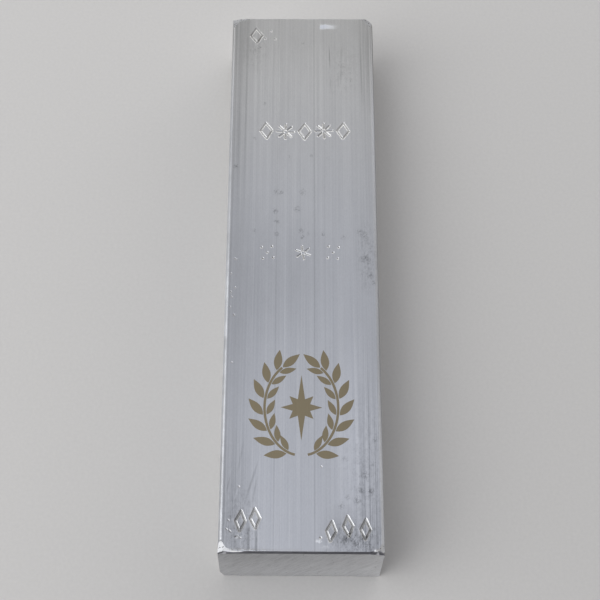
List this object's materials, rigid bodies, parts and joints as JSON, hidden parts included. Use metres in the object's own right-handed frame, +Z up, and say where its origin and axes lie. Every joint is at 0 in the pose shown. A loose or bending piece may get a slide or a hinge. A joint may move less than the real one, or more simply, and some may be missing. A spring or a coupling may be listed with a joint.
{
  "type": "metal ingot",
  "caption": "Aluminium ingot sawn from flat bar: a plain oblong block with rounded long edges, rough sawn ends and hand-filed corners, kept as raw stock for melting or machining.",
  "frame": {"origin": "centre of the bottom face", "axes": "+Y along the length, away from the end with the leaning saw cut; +X across the width; +Z up through the thickness, out of the marked face"},
  "size_m": [0.0508, 0.1986, 0.0254],
  "materials": {
    "bar_metal": "mill finish with lengthwise die lines, rough sawn ends, filed edges",
    "gold_print": "thin satin gold-coloured print on the top face"
  },
  "bodies": {
    "root": {"ingot": "bar_metal"}
  },
  "joints": []
}
